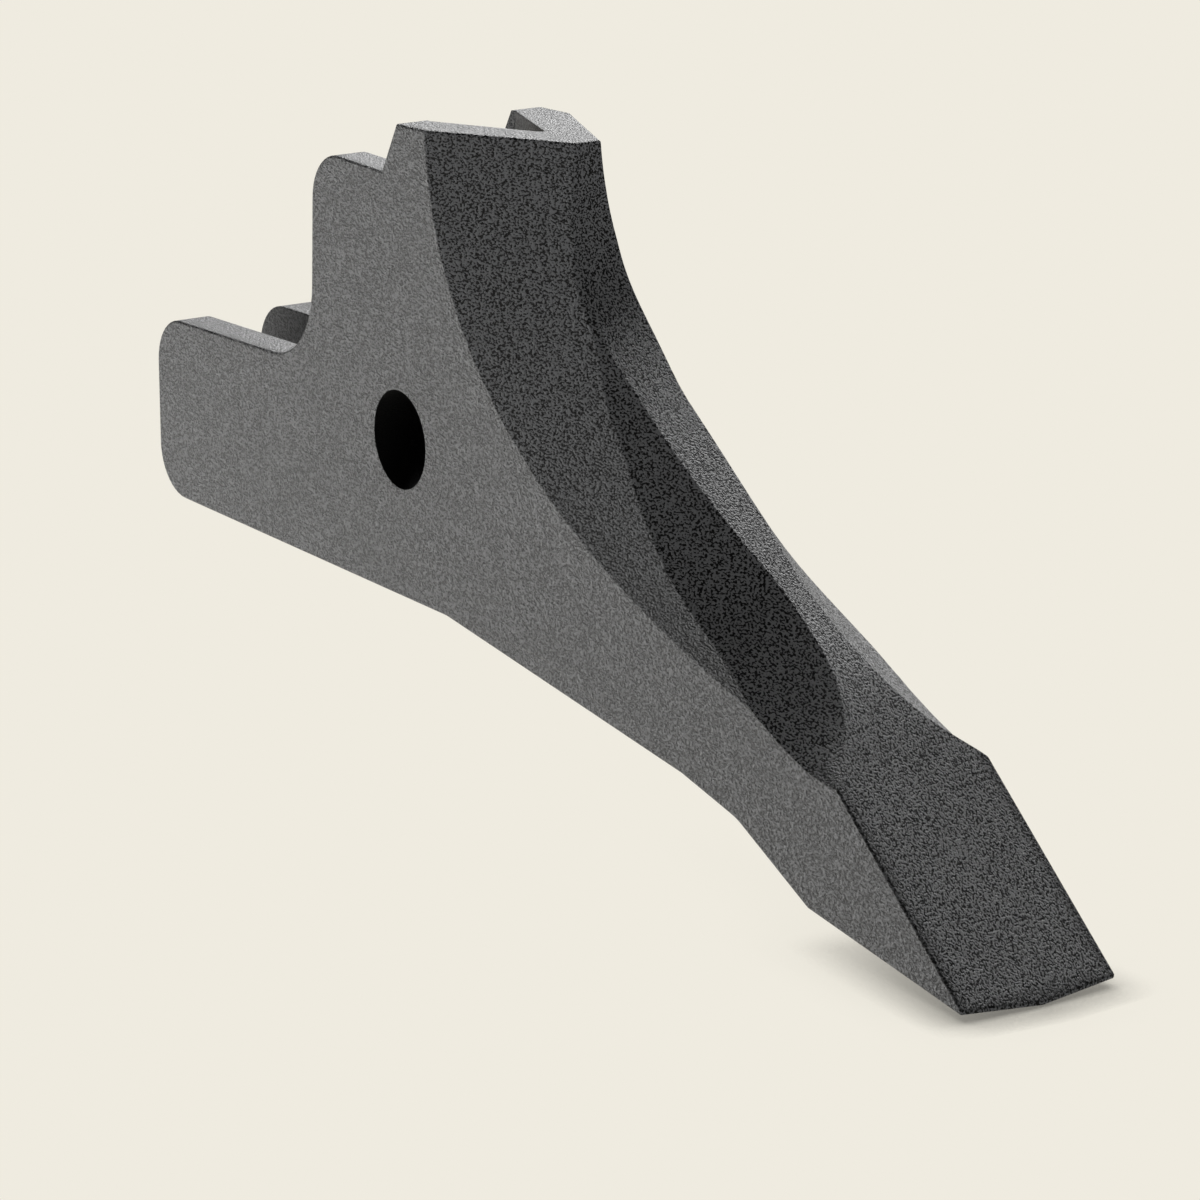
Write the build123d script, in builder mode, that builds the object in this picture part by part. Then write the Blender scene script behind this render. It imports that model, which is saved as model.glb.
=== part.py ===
from build123d import *
import os
from math import radians, sqrt, tan

# Ripper shank tooth: one steel casting whose two cheeks straddle a shank plate.
# Origin on the pin bore's axis at mid width, +X towards the cutting edge, +Z up, millimetres.

# over both cheeks, and the pocket between them, widest at the crown
width = 60.0
gap = 35.0
pocket_draft = 1.0
bore_diameter = 36.0

# cheek outline behind the bore
rear_reach = 186.1
base_drop = 58.2
base_pitch = 0.71
tab_rise = 9.2
tab_pitch = 2.44
tab_corner_radius = 19.0
block_rear = 60.7
block_lean = 2.5
throat_radius = 32.0
shoulder_height = 95.6
shoulder_radius = 19.0
riser_foot = 10.7
crown_rear = -0.1
crown_height = 114.3
crown_pitch = 2.58

# front curve: from the nose down to the chisel, then straight to the cutting edge
nose_reach = 78.3
nose_pull = 53.7
chisel_start_x = 226.0
chisel_start_drop = 22.0
front_slope = 0.56
front_pull = 150.0
shoulder_length = 17.0
tip_reach = 339.0
tip_drop = 106.5
edge_thickness = 1.8
edge_lead = 2.6

# underside
belly_start = 96.9
belly_end = 215.0
belly_drop = 80.3
heel_reach = 256.0
heel_drop = 98.6
keel_depth = 1.7
keel_lead = 14.0
bend_radius = 30.0

# floor block between the cheeks
floor_width = 30.0
floor_height = 12.0
floor_slope = 0.106
floor_rear = 62.6
floor_front = 247.0

# pocket's wedge-shaped front
wedge_start = 2.7
wedge_apex = 51.5
wedge_radius = 1.5

# bevel between the cheek and the front band
cheek_edge_top = 19.3
cheek_edge_end = 218.7
cheek_edge_drop = 39.9
cheek_edge_slope = 0.25
cheek_top_pull = 117.1
cheek_end_pull = 32.7
guide_top = 88.8
guide_top_rise = 20.7
guide_top_pull = 110.5
guide_end = 330.0
guide_end_height = 6.2
guide_slope = 1.2
guide_end_pull = 30.8

# long facet cut along the front band: place along the slope, half width of the band, fall
facet_stations = [
    (-26.0, 7.5, 1.40),
    (-10.0, 8.2, 1.40),
    (6.0, 9.0, 1.40),
    (22.0, 10.0, 1.40),
    (37.0, 10.4, 1.40),
    (48.0, 9.8, 1.38),
    (60.0, 8.9, 1.30),
    (75.0, 8.9, 1.33),
    (92.0, 8.5, 1.33),
    (110.0, 7.7, 1.26),
    (128.0, 6.4, 1.12),
    (146.0, 4.6, 0.92),
    (159.0, 4.5, 0.83),
    (173.0, 5.3, 0.78),
    (188.0, 7.5, 0.80),
    (200.0, 10.9, 0.81),
    (210.0, 15.4, 0.85),
    (220.0, 22.0, 1.00),
    (232.0, 30.6, 2.00),
]

# rounding of the cast edges
edge_radius = 0.85

# cutting shapes: how far they start outside the casting, and how far they run on
clear = 5.0
sweep = 60.0
overlap = 3.0
near = 0.02

half = width / 2
outside = half + clear
base_slope = tan(radians(base_pitch))
tab_slope = tan(radians(tab_pitch))
block_slope = tan(radians(block_lean))
crown_slope = tan(radians(crown_pitch))
floor_level = -base_drop + floor_height


def crown_z(x):
    return crown_height + crown_slope * (x - crown_rear)


def base_z(x):
    return -base_drop + base_slope * x


def pulled(point, direction, amount):
    """The point moved by an amount along a direction."""
    size = sqrt(direction[0] ** 2 + direction[1] ** 2)
    return (point[0] + amount * direction[0] / size, point[1] + amount * direction[1] / size)


def curve_point(points, t):
    """A point of the Bezier curve of any number of poles."""
    while len(points) > 1:
        points = [
            ((1 - t) * a[0] + t * b[0], (1 - t) * a[1] + t * b[1])
            for a, b in zip(points[:-1], points[1:])
        ]
    return points[0]


# foot of the block's leaning rear, on the pitched tops of the tabs
block_bottom = shoulder_height * block_slope + block_rear
foot_z = (tab_rise + tab_slope * (rear_reach - block_bottom)) / (1 - tab_slope * block_slope)
block_foot = (-block_bottom + block_slope * foot_z, foot_z)

# front curve in the side view
nose_top = (nose_reach, crown_z(nose_reach))
chisel_start = (chisel_start_x, -chisel_start_drop)
front_poles = [
    nose_top,
    pulled(nose_top, (0, -1), nose_pull),
    pulled(chisel_start, (-1, front_slope), front_pull),
    chisel_start,
]
chisel_knee = (chisel_start[0] + shoulder_length, chisel_start[1] - front_slope * shoulder_length)
tip = (tip_reach, -tip_drop)
chisel_slope = (chisel_knee[1] - tip[1]) / (tip[0] - chisel_knee[0])
chisel_face = (chisel_knee[0] + shoulder_length, chisel_knee[1] - chisel_slope * shoulder_length)
tip_centre = (tip_reach + edge_lead, -tip_drop - chisel_slope * edge_lead)

# underside in the side view
heel = (heel_reach, -heel_drop)
keel_slope = (tip_drop + edge_thickness - heel_drop) / (tip_reach - heel_reach)
belly_slope = (heel_drop - belly_drop) / (heel_reach - belly_end)
below_heel = (heel_reach + 2 * keel_depth, -heel_drop - 2 * keel_depth * belly_slope)
edge_middle = edge_thickness + keel_depth - (chisel_slope - keel_slope) * edge_lead
rounding = min(edge_radius, edge_thickness / 2, edge_middle / 2)
past_tip = (tip_centre[0] + clear, tip_centre[1] - chisel_slope * clear)
below_tip = (past_tip[0], past_tip[1] - clear)

with BuildPart() as tooth:
    # side view of the whole casting
    with BuildSketch(Plane.XZ) as outline:
        with BuildLine():
            Polyline(
                nose_top,
                (crown_rear, crown_height),
                (-riser_foot, shoulder_height),
                (-block_rear, shoulder_height),
                block_foot,
                (-rear_reach, tab_rise),
                (-rear_reach, base_z(-rear_reach)),
                (belly_start, base_z(belly_start)),
                (belly_end, -belly_drop),
                below_heel,
                below_tip,
                past_tip,
                chisel_face,
            )
            Bezier(chisel_face, chisel_knee, chisel_start)
            Bezier(*reversed(front_poles))
        make_face()

        def corner(x, z):
            return outline.vertices().sort_by_distance(Vector(x, z))[0]

        fillet(corner(-rear_reach, tab_rise), tab_corner_radius)
        fillet(corner(-rear_reach, base_z(-rear_reach)), tab_corner_radius)
        fillet(corner(*block_foot), throat_radius)
        fillet(corner(-block_rear, shoulder_height), shoulder_radius)
        fillet(corner(belly_start, base_z(belly_start)), bend_radius)
        fillet(corner(belly_end, -belly_drop), bend_radius)
    extrude(amount=half, both=True)

    # floor block under the pocket, hanging below the cheeks' bend
    with BuildSketch(Plane.XZ) as floor_side:
        with BuildLine():
            Polyline(
                (-floor_rear, base_z(-floor_rear)),
                (floor_front, base_z(-floor_rear) - floor_slope * (floor_front + floor_rear)),
                (floor_front, floor_level),
                close=True,
            )
        make_face()
    extrude(amount=floor_width / 2, both=True)

    # underside of the chisel: two flats that meet in a shallow keel
    with BuildSketch(Plane.YZ.offset(heel_reach - keel_lead)) as keel:
        keel_edge = -heel_drop + keel_slope * keel_lead
        with BuildLine():
            Polyline(
                (0, keel_edge - keel_depth),
                (outside, keel_edge + keel_depth * clear / half),
                (outside, keel_edge - sweep),
                (-outside, keel_edge - sweep),
                (-outside, keel_edge + keel_depth * clear / half),
                close=True,
            )
        make_face()
    extrude(amount=tip_reach - heel_reach + sweep, dir=(1, 0, -keel_slope), mode=Mode.SUBTRACT)

    # blunt cutting edge, leading a little at mid width
    with BuildSketch(Plane.XY.offset(-tip_drop)) as edge_plan:
        with BuildLine():
            Polyline(
                (tip_centre[0], 0),
                (tip_reach - edge_lead * clear / half, outside),
                (tip_reach + sweep, outside),
                (tip_reach + sweep, -outside),
                (tip_reach - edge_lead * clear / half, -outside),
                close=True,
            )
        make_face()
    extrude(amount=sweep, both=True, mode=Mode.SUBTRACT)

    # bevels from the cheeks to the front band
    cheek_top = (cheek_edge_top, crown_z(cheek_edge_top))
    cheek_end = (cheek_edge_end, -cheek_edge_drop)
    cheek_poles = [
        cheek_top,
        pulled(cheek_top, (0.06, -1), cheek_top_pull),
        pulled(cheek_end, (-1, cheek_edge_slope), cheek_end_pull),
        cheek_end,
    ]
    top_guide = (guide_top, crown_height + guide_top_rise)
    end_guide = (guide_end, guide_end_height)
    guide_poles = [
        top_guide,
        pulled(top_guide, (0, -1), guide_top_pull),
        pulled(end_guide, (-1, guide_slope), guide_end_pull),
        end_guide,
    ]
    past = outside / half
    beyond = [
        (past * a[0] + (1 - past) * b[0], past * a[1] + (1 - past) * b[1])
        for a, b in zip(cheek_poles, guide_poles)
    ]
    for side in (1, -1):
        for away, poles in ((outside, beyond), (0.0, guide_poles)):
            with BuildSketch(Plane.XZ.offset(side * away)):
                with BuildLine():
                    Bezier(*poles)
                    Polyline(
                        poles[3],
                        (tip_reach + sweep, poles[3][1]),
                        (tip_reach + sweep, crown_height + sweep),
                        (poles[0][0], crown_height + sweep),
                        poles[0],
                    )
                make_face()
        loft(ruled=True, mode=Mode.SUBTRACT)

    # long facets beside the front band, cut through both bevels down to the chisel's corners
    def front_at(place):
        """Height of the front curve above the inclined station at this place."""
        pieces = [front_poles, [chisel_start, chisel_knee, chisel_face], [chisel_face, tip]]
        for poles in pieces:
            if (poles[-1][0] - poles[-1][1]) / sqrt(2) >= place:
                break
        low, high = 0.0, 1.0
        for _ in range(50):
            mid = (low + high) / 2
            x, z = curve_point(poles, mid)
            if (x - z) / sqrt(2) < place:
                low = mid
            else:
                high = mid
        return (x + z) / sqrt(2)

    for side in (1, -1):
        for place, band, fall in facet_stations:
            at = place / sqrt(2)
            level = front_at(place)
            station = Plane(origin=(at, 0, -at), x_dir=(0, 1, 0), z_dir=(1, 0, -1))
            inner = band - overlap
            with BuildSketch(station):
                with BuildLine():
                    Polyline(
                        (-side * inner, level + fall * overlap),
                        (-side * outside, level - fall * (outside - band)),
                        (-side * outside, level + sweep),
                        (-side * inner, level + sweep),
                        close=True,
                    )
                make_face()
        loft(mode=Mode.SUBTRACT)

    # pocket for the shank plate: open at the rear and the top, wedge-shaped at the front,
    # its walls drafted so that it widens from the floor to the crown
    for level in (floor_level, crown_height + clear):
        wall = gap / 2 - tan(radians(pocket_draft)) * (crown_height - level)
        apex = wedge_start + (wedge_apex - wedge_start) * wall / (gap / 2)
        with BuildSketch(Plane.XY.offset(level)) as pocket_plan:
            with BuildLine():
                Polyline(
                    (-rear_reach - clear, -wall),
                    (wedge_start, -wall),
                    (apex, 0),
                    (wedge_start, wall),
                    (-rear_reach - clear, wall),
                    close=True,
                )
            make_face()
            fillet(pocket_plan.vertices().sort_by_distance(Vector(apex, 0))[0], wedge_radius)
    loft(ruled=True, mode=Mode.SUBTRACT)

    # cross pin bore through both cheeks
    with BuildSketch(Plane.XZ) as bore:
        Circle(bore_diameter / 2)
    extrude(amount=outside, both=True, mode=Mode.SUBTRACT)

    # cast edges: the crown's rim, the cheek outlines and the blunt cutting edge are rounded
    def lies(edge, test):
        return all(test(edge.position_at(t)) for t in (0, 0.5, 1))

    def in_pocket(edge):
        return lies(edge, lambda v: v.X < wedge_apex + near and abs(v.Y) < gap / 2 + wedge_radius)

    def on_crown(edge):
        return lies(edge, lambda v: abs(v.Z - crown_z(v.X)) < near) and not in_pocket(edge)

    def in_bore(edge):
        return edge.geom_type == GeomType.CIRCLE and abs(edge.radius - bore_diameter / 2) < near

    def on_cheek(edge):
        plain = edge.geom_type in (GeomType.LINE, GeomType.CIRCLE) and not in_bore(edge)
        return plain and lies(edge, lambda v: abs(abs(v.Y) - half) < near)

    def at_tip(edge):
        return lies(edge, lambda v: v.X > tip_reach - near)

    fillet(tooth.edges().filter_by(lambda e: on_crown(e) or on_cheek(e) or at_tip(e)), rounding)

tooth.part.label = "ripper_tooth"

os.makedirs("parts", exist_ok=True)
export_step(tooth.part, "parts/ripper_tooth.step")
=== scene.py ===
import math
import bpy
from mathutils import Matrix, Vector

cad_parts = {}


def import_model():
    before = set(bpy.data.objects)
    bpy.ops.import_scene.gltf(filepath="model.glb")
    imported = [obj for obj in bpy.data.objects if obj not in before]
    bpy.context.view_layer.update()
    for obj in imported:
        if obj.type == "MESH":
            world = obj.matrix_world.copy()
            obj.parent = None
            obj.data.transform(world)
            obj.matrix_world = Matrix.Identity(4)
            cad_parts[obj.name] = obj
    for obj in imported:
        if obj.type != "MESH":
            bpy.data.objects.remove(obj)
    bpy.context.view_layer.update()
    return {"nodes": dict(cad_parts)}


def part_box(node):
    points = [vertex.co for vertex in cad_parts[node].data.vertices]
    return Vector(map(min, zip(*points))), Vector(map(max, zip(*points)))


# Ripper shank tooth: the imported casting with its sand-cast steel skin, a pale floor and studio light.
# Metres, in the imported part's own frame: pin bore's axis at the origin, +X to the cutting edge, +Z up.

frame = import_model()
casting = frame["nodes"]["ripper_tooth"]
low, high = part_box("ripper_tooth")

# camera, as fitted to the photograph
lens_mm = 146.88
sensor_mm = 36.0
camera_place = (1.46434, -0.87989, 0.44269)
camera_turn_deg = (73.46, 0.0, 57.45)

# light: the sky, and for each lamp its name, the side it shines from, its strength and its width in degrees
sky_white = (1.0, 1.0, 1.0)
sky_strength = 0.07
suns = [
    ("far_top", (-0.60, 0.55, 0.58), 4.4, 25),
    ("near_rear", (-0.84, -0.49, -0.25), 1.5, 20),
    ("front", (0.85, -0.25, -0.4), 0.32, 25),
    ("top_front", (0.45, 0.1, 0.9), 0.12, 25),
]

# floor, just under the tip; colours are linear light here and below
floor_half = 30.0
floor_gap = 0.0002
backdrop_colour = (0.863, 0.831, 0.745)
shadow_black = (0.0, 0.0, 0.0)
floor_bounce = (0.18, 0.185, 0.2)

# contact shadows on the floor, the first beside the tip and the second before it: how near the tooth darkens
# the floor, the side that is felt for it, the span of openness that is used, and the light left at its start
shadow_samples = 4
shadows = [
    (0.03, (-0.75, 0.5, 0.45), (0.0, 0.83), 0.7),
    (0.015, (-0.95, 0.28, 0.12), (0.6, 1.0), 0.15),
]

# how a face is turned, from its normal: x from side to front, z from level to looking up, least z of a top face
front_span = (0.03, 0.2)
up_span = (0.02, 0.12)
top_turn = 0.6

# cast skin: one noise, drawn out a little along the casting, read as light pits on the sides and the tops
# and as sharp holes in the faces that look forward
grain_size = 0.00066
grain_stretch = (0.6, 1.0, 1.0)
grain_detail = 1.5
grain_roughness = 0.5
pit_span = (0.38, 0.54)
hole_span = (0.45, 0.505)
side_low = (0.03, 0.03, 0.03)
side_high = (0.24, 0.24, 0.24)
front_low = (0.001, 0.001, 0.001)
front_high = (0.325, 0.325, 0.325)
side_rough = 0.45
front_rough = 0.65
shine = 0.22

# relief of the skin, and the rounding of its edges
side_depth = 0.0006
front_depth = 0.0005
hole_depth = 0.0001
edge_round = 0.0010
edge_samples = 6

# painted shade along the rounded rims: tone, share, width and softness, how far the grain moves their border,
# and how it thins them;
# on faces that look forward they are on the chisel alone, this far back from the cutting edge
rim_shade_colour = (0.012, 0.012, 0.012)
rim_strength = 0.9
rim_width = 0.0030
rim_soft = 0.0008
rim_ragged = 0.0030
ragged_span = (0.3, 0.7)
thin_span = (0.45, 0.6)
thin_least = 0.4
chisel_length = 0.077

# painted shade in the hollows: the bore, and the pocket behind it, darkest round one place and greyer towards
# its ends
hollow_black = (0.003, 0.003, 0.003)
bore_radius = 0.01803
pocket_wall = 0.0157
pocket_draft = 0.017455
pocket_floor = -0.0465
dark_place = (-0.060, 0.0, -0.020)
dark_span = (0.055, 0.140)
# painted shade left at the pocket's open ends, as a share of the darkest
pocket_end_shade = 0.5

# the top faces darkened towards the rear end, where it is strongest, falling to nothing above the bore
top_rear_darkening = 0.4


class Graph:
    """The nodes of a material or a world, added by short calls."""

    def __init__(self, owner):
        owner.use_nodes = True
        self.tree = owner.node_tree
        self.tree.nodes.clear()

    def node(self, kind, **values):
        made = self.tree.nodes.new(kind)
        for key, value in values.items():
            setattr(made, key, value)
        return made

    def link(self, out, into):
        self.tree.links.new(out, into)

    def parts(self, vector):
        made = self.node("ShaderNodeSeparateXYZ")
        self.link(vector, made.inputs[0])
        return made.outputs

    def spread(self, value, span, to=(0.0, 1.0)):
        """The value carried from one span to the other and held at its ends."""
        made = self.node("ShaderNodeMapRange")
        for name, number in zip(("From Min", "From Max", "To Min", "To Max"), (*span, *to)):
            made.inputs[name].default_value = number
        self.link(value, made.inputs["Value"])
        return made.outputs["Result"]

    def mix(self, factor, first, second):
        """The first colour where the factor is nought, the second where it is one."""
        made = self.node("ShaderNodeMix", data_type="RGBA")
        self.link(factor, made.inputs["Factor"])
        for value, socket in ((first, made.inputs[6]), (second, made.inputs[7])):
            if isinstance(value, tuple):
                socket.default_value = (*value, 1.0)
            else:
                self.link(value, socket)
        return made.outputs[2]

    def calc(self, operation, first, second=0.0):
        made = self.node("ShaderNodeMath", operation=operation)
        for value, socket in ((first, made.inputs[0]), (second, made.inputs[1])):
            if isinstance(value, float):
                socket.default_value = value
            else:
                self.link(value, socket)
        return made.outputs[0]

    def times(self, first, *others):
        for other in others:
            first = self.calc("MULTIPLY", first, other)
        return first

    def choose(self, factor, first, second):
        """The first shader where the factor is nought, the second where it is one."""
        made = self.node("ShaderNodeMixShader")
        self.link(factor, made.inputs[0])
        self.link(first.outputs[0], made.inputs[1])
        self.link(second.outputs[0], made.inputs[2])
        return made

    def show(self, shader, kind):
        self.link(shader.outputs[0], self.node(kind).inputs["Surface"])


def hollows(g, place, spot, top, front):
    """Painted shade: one in the bore and deep in the pocket, falling towards the pocket's open ends to the
    share set for them.
    """
    x, y, z = spot
    across = g.calc("POWER", g.calc("ADD", g.times(x, x), g.times(z, z)), 0.5)
    bore = g.calc("LESS_THAN", across, bore_radius)
    wall = g.calc("SUBTRACT", g.calc("ABSOLUTE", y), g.times(z, pocket_draft))
    between = g.calc("LESS_THAN", wall, pocket_wall)
    above = g.calc("GREATER_THAN", z, pocket_floor)
    inner = g.calc("SUBTRACT", 1.0, g.calc("MAXIMUM", front, top))
    away = g.node("ShaderNodeVectorMath", operation="DISTANCE")
    g.link(place, away.inputs[0])
    away.inputs[1].default_value = dark_place
    depth = g.spread(away.outputs["Value"], dark_span, (1.0, pocket_end_shade))
    return g.calc("MAXIMUM", bore, g.times(between, above, inner, depth))


def rims(g, spot, turned, front, grain):
    """Painted shade, rim_strength deep, along the outer rims of the faces that look up, and along the cutting
    edge.
    """
    x, y, _ = spot
    ragged = g.spread(grain, ragged_span, (-rim_ragged, rim_ragged))
    bands = []
    for distance, end in ((g.calc("ABSOLUTE", y), high.y), (x, high.x)):
        start = end - rim_width
        bands.append(g.spread(g.calc("ADD", distance, ragged), (start, start + rim_soft)))
    upward = g.spread(turned, up_span, (0.0, rim_strength))
    chisel = g.calc("GREATER_THAN", x, high.x - chisel_length)
    where = g.calc("MAXIMUM", chisel, g.calc("SUBTRACT", 1.0, front))
    thinned = g.spread(grain, thin_span, (1.0, thin_least))
    return g.times(g.calc("MAXIMUM", *bands), upward, g.times(where, thinned))


def cast_steel():
    """Dark grey sand-cast skin: grained on its sides and tops, pitted in front; painted shade makes it black in
    its hollows and dark along its rims.
    """
    made = bpy.data.materials.new("cast_steel")
    g = Graph(made)
    coordinates = g.node("ShaderNodeTexCoord")
    place = coordinates.outputs["Object"]
    spot = g.parts(place)
    forward, _, turned = g.parts(coordinates.outputs["Normal"])
    front = g.spread(forward, front_span)
    top = g.calc("GREATER_THAN", turned, top_turn)

    drawn = g.node("ShaderNodeMapping")
    g.link(place, drawn.inputs["Vector"])
    drawn.inputs["Scale"].default_value = grain_stretch
    noise = g.node("ShaderNodeTexNoise")
    noise.inputs["Scale"].default_value = 1 / grain_size
    noise.inputs["Detail"].default_value = grain_detail
    noise.inputs["Roughness"].default_value = grain_roughness
    g.link(drawn.outputs[0], noise.inputs["Vector"])
    grain = noise.outputs["Fac"]
    holes = g.spread(grain, hole_span)

    side_tone = g.mix(g.spread(grain, pit_span), side_low, side_high)
    tone = g.mix(front, side_tone, g.mix(holes, front_low, front_high))
    # painted shade along the rounded rims
    tone = g.mix(rims(g, spot, turned, front, grain), tone, rim_shade_colour)
    # top faces darker towards the rear end
    top_darkening = g.times(g.spread(spot[0], (low.x, 0.0), (top_rear_darkening, 0.0)), top)
    tone = g.mix(top_darkening, tone, hollow_black)
    # painted shade in the bore and the pocket
    hollow = hollows(g, place, spot, top, front)
    tone = g.mix(hollow, tone, hollow_black)
    rough = g.spread(front, (0.0, 1.0), (side_rough, front_rough))

    relief = g.times(grain, g.spread(front, (0.0, 1.0), (side_depth, front_depth)))
    rounded = g.node("ShaderNodeBevel", samples=edge_samples)
    rounded.inputs["Radius"].default_value = edge_round
    bump = g.node("ShaderNodeBump")
    bump.inputs["Strength"].default_value = 1.0
    bump.inputs["Distance"].default_value = 1.0
    g.link(g.calc("ADD", relief, g.times(holes, hole_depth)), bump.inputs["Height"])
    g.link(rounded.outputs[0], bump.inputs["Normal"])

    shader = g.node("ShaderNodeBsdfPrincipled")
    shader.inputs["Metallic"].default_value = 0.0
    shader.inputs["Specular IOR Level"].default_value = shine
    g.link(tone, shader.inputs["Base Color"])
    g.link(g.calc("MAXIMUM", hollow, rough), shader.inputs["Roughness"])
    g.link(bump.outputs["Normal"], shader.inputs["Normal"])
    g.show(shader, "ShaderNodeOutputMaterial")
    return made


def floor_cream():
    """The backdrop's cream where it is seen, darker near the tip, and a cool grey in the light sent back up."""
    made = bpy.data.materials.new("floor_cream")
    g = Graph(made)
    shares = []
    for reach, lean, open_span, least in shadows:
        openness = g.node("ShaderNodeAmbientOcclusion", samples=shadow_samples)
        openness.inputs["Distance"].default_value = reach
        towards = g.node("ShaderNodeCombineXYZ")
        for socket, value in zip(towards.inputs, lean):
            socket.default_value = value
        g.link(towards.outputs[0], openness.inputs["Normal"])
        shares.append(g.spread(openness.outputs["AO"], open_span, (least, 1.0)))
    glow = g.node("ShaderNodeEmission")
    g.link(g.mix(g.times(*shares), shadow_black, backdrop_colour), glow.inputs["Color"])
    bounce = g.node("ShaderNodeBsdfDiffuse")
    bounce.inputs["Color"].default_value = (*floor_bounce, 1.0)
    path = g.node("ShaderNodeLightPath").outputs
    seen = g.calc("MAXIMUM", path["Is Camera Ray"], path["Is Glossy Ray"])
    seen = g.calc("MAXIMUM", seen, path["Is Transmission Ray"])
    g.show(g.choose(seen, bounce, glow), "ShaderNodeOutputMaterial")
    return made


def add(name, data):
    """A new object with the given data, in the scene."""
    made = bpy.data.objects.new(name, data)
    bpy.context.scene.collection.objects.link(made)
    return made


def dress():
    casting.data.materials.clear()
    casting.data.materials.append(cast_steel())


def backdrop():
    """The floor, which casts no shadow on the casting above it."""
    level = low.z - floor_gap
    near, far = -floor_half, floor_half
    corners = [(x, y, level) for x, y in ((near, near), (far, near), (far, far), (near, far))]
    mesh = bpy.data.meshes.new("floor")
    mesh.from_pydata(corners, [], [(0, 1, 2, 3)])
    mesh.materials.append(floor_cream())
    floor = add("floor", mesh)
    floor.visible_shadow = False


def world():
    """Even sky for the object, and the backdrop's cream for what the camera sees past the floor."""
    made = bpy.data.worlds.new("studio")
    bpy.context.scene.world = made
    g = Graph(made)
    sky = g.node("ShaderNodeBackground")
    sky.inputs["Color"].default_value = (*sky_white, 1.0)
    sky.inputs["Strength"].default_value = sky_strength
    seen = g.node("ShaderNodeBackground")
    seen.inputs["Color"].default_value = (*backdrop_colour, 1.0)
    path = g.node("ShaderNodeLightPath").outputs
    g.show(g.choose(path["Is Camera Ray"], sky, seen), "ShaderNodeOutputWorld")


def lights():
    for name, source, strength, width_deg in suns:
        lamp = bpy.data.lights.new(name, "SUN")
        lamp.energy = strength
        lamp.angle = math.radians(width_deg)
        add(name, lamp).rotation_euler = Vector(source).to_track_quat("Z", "Y").to_euler()


def camera():
    lens = bpy.data.cameras.new("camera")
    lens.sensor_width = sensor_mm
    lens.lens = lens_mm
    made = add("camera", lens)
    made.location = camera_place
    made.rotation_euler = [math.radians(turn) for turn in camera_turn_deg]
    bpy.context.scene.camera = made


dress()
backdrop()
world()
lights()
camera()
bpy.context.scene.view_settings.view_transform = "Standard"
